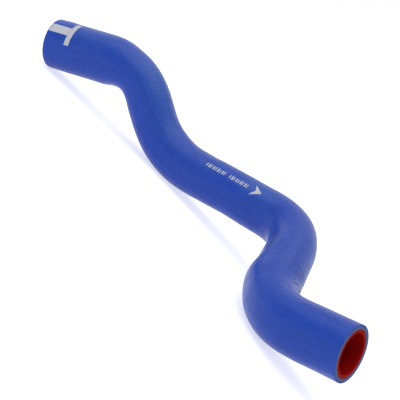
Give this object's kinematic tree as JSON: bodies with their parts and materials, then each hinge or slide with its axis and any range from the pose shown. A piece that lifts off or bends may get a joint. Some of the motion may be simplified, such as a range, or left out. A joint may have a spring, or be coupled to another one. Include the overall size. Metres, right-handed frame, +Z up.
{
  "type": "radiator hose",
  "caption": "Preformed silicone radiator hose, blue with a red liner, bent four times in different planes, one end wider than the other.",
  "frame": {"origin": "middle of the outline, on the surface that the hose lies on", "axes": "+Z up; +X along the line from the centre of the wide end to the centre of the narrow end, seen from above; +Y across"},
  "size_m": [0.4604, 0.1354, 0.0774],
  "materials": {
    "cover": "satin blue silicone rubber",
    "liner": "satin red silicone rubber",
    "print": "thin matt white print film"
  },
  "bodies": {
    "root": {"outer_cover": "cover", "inner_liner": "liner", "alignment_mark": "print", "print_bar_first": "print", "print_bar_second": "print", "print_arrow": "print"}
  },
  "joints": []
}
